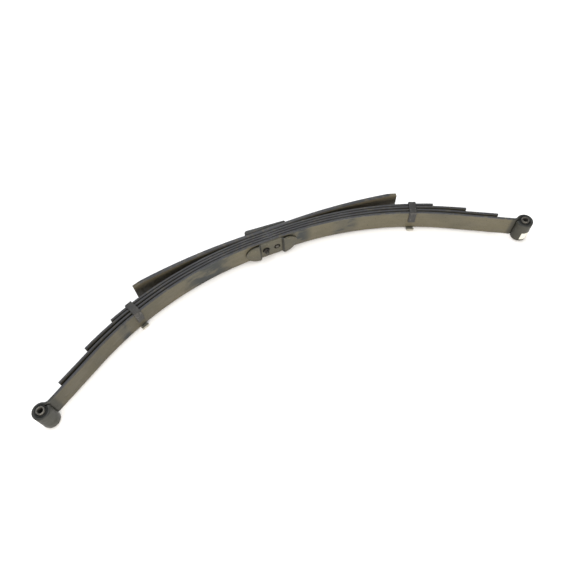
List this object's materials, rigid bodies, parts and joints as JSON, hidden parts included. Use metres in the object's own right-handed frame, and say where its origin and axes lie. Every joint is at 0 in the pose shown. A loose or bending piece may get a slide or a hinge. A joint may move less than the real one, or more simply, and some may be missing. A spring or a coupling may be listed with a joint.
{
  "type": "leaf spring",
  "caption": "Semi-elliptic vehicle leaf spring: stacked curved steel leaves with a flatter overload leaf, axle wedge, saddle plate, clips and rubber-bushed rolled eyes.",
  "frame": {"origin": "middle of the bottom of the bounding box, with the spring lying on its side", "axes": "+X along the span from the left eye to the right eye, +Y from the concave side towards the overload leaf, +Z along the leaf width and the eye axes"},
  "size_m": [1.335, 0.313, 0.0721],
  "materials": {
    "spring_steel": "satin grey-olive phosphate and paint",
    "overload_steel": "satin dark olive-brown paint",
    "wedge_iron": "dark painted casting",
    "stamped_steel": "satin olive-grey paint",
    "clip_steel": "satin grey, worn at the bends",
    "fastener": "dark phosphated steel",
    "shell_steel": "drawn tube, light oil film",
    "rubber": "matt black",
    "sleeve_steel": "machined ends",
    "slip_pad": "moulded plastic",
    "label": "blank paper label"
  },
  "bodies": {
    "spring_pack": {"main_leaf": "spring_steel", "second_leaf": "spring_steel", "third_leaf": "spring_steel", "fourth_leaf": "spring_steel", "overload_leaf": "overload_steel", "axle_wedge": "wedge_iron", "saddle_plate": "stamped_steel", "centre_bolt": "fastener", "centre_nut": "fastener", "locating_dowel": "fastener", "left_clip": "clip_steel", "left_clip_rivet": "fastener", "left_second_tip_pad": "slip_pad", "left_third_tip_pad": "slip_pad", "left_bushing_shell": "shell_steel", "left_bushing_rubber": "rubber", "right_clip": "clip_steel", "right_clip_rivet": "fastener", "right_second_tip_pad": "slip_pad", "right_third_tip_pad": "slip_pad", "right_bushing_shell": "shell_steel", "right_bushing_rubber": "rubber", "eye_label": "label"},
    "left_sleeve": {"left_bushing_sleeve": "sleeve_steel"},
    "right_sleeve": {"right_bushing_sleeve": "sleeve_steel"}
  },
  "joints": [
    {"name": "left_sleeve_twist", "type": "hinge", "parent": "spring_pack", "child": "left_sleeve", "pos_m": [-0.64586, -0.13487, 0.03605], "axis": [0, 0, 1], "range_deg": [-20, 20], "stiffness_Nm_per_rad": 60},
    {"name": "right_sleeve_twist", "type": "hinge", "parent": "spring_pack", "child": "right_sleeve", "pos_m": [0.64592, -0.11593, 0.03605], "axis": [0, 0, 1], "range_deg": [-20, 20], "stiffness_Nm_per_rad": 60}
  ]
}
